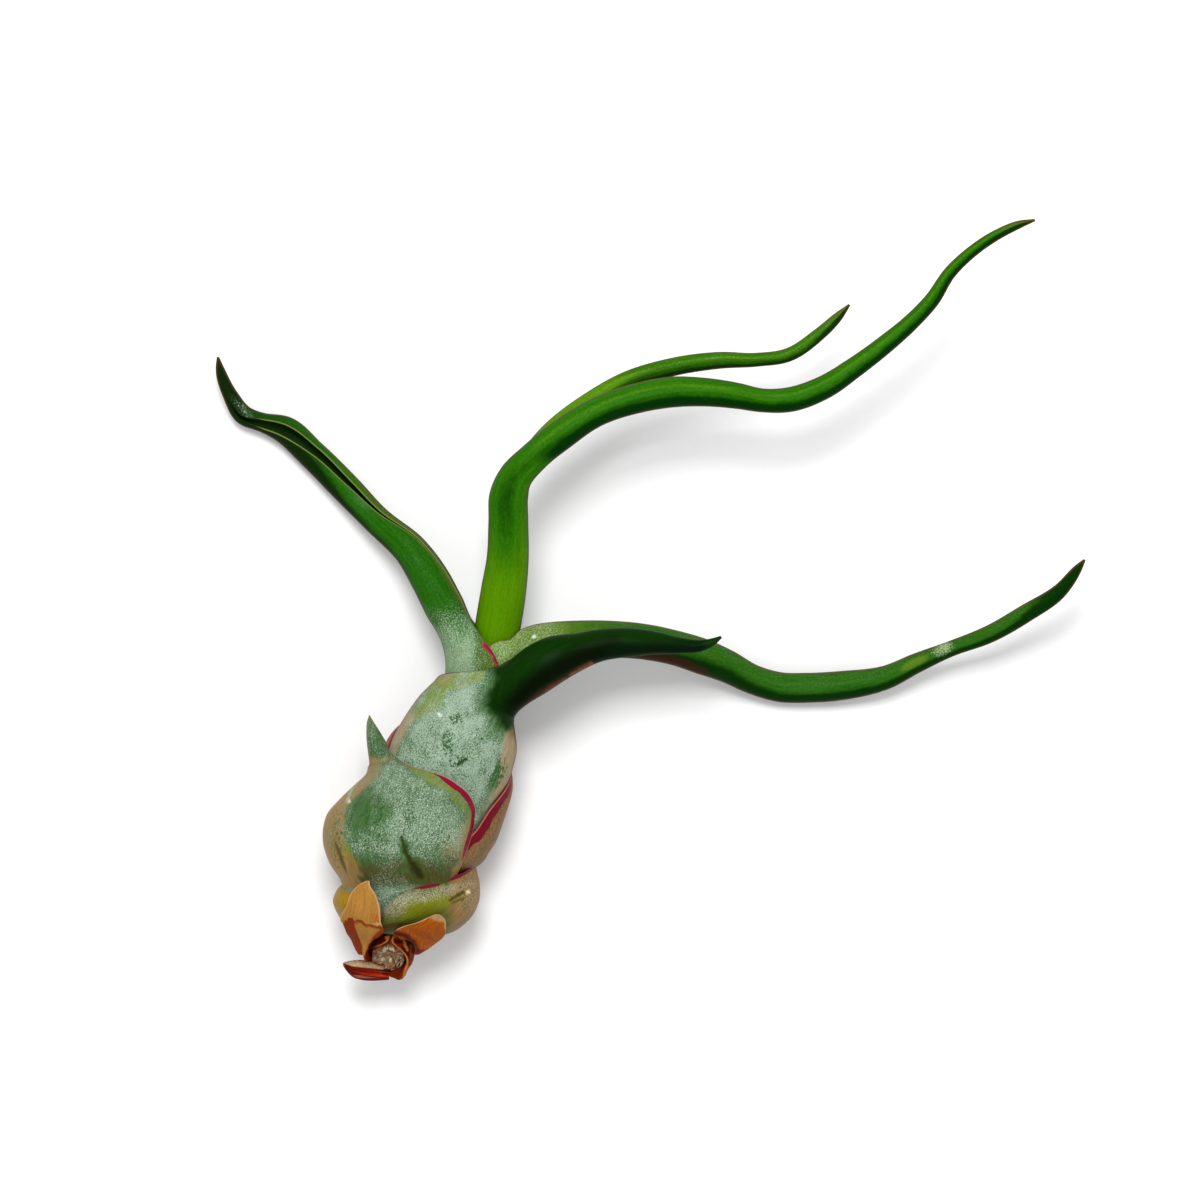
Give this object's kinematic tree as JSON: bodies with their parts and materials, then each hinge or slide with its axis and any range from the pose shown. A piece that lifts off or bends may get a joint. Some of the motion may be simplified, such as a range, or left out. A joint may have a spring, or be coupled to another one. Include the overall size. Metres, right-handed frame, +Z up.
{
  "type": "bulbous air plant",
  "caption": "Small rootless air plant lying on its side: swollen overlapping leaf sheaths form a bulb, and slender rolled leaves curl away from its neck.",
  "frame": {"origin": "the flat spot under the bulb, on the surface the plant lies on", "axes": "+X towards the tip of the longest right-hand leaf, +Y from the stem end towards the leaf tips, +Z up from the surface"},
  "size_m": [0.1307, 0.1138, 0.025],
  "materials": {
    "stem": "rough",
    "dry_scale": "matte",
    "dry_bract": "matte",
    "sheath_tan": "matte",
    "sheath_grey": "matte",
    "blade_green": "satin"
  },
  "bodies": {
    "root": {"stem": "stem", "base_scale": "dry_scale", "stub_husk": "dry_scale", "bract_left": "dry_bract", "bract_right": "dry_bract", "leaf_1_cup": "sheath_tan", "leaf_2_spine": "sheath_grey", "leaf_3_back": "sheath_tan", "leaf_4_short": "sheath_grey", "leaf_5_left": "blade_green", "leaf_6_right": "blade_green", "leaf_7_centre": "blade_green", "leaf_8_inner": "blade_green"}
  },
  "joints": []
}
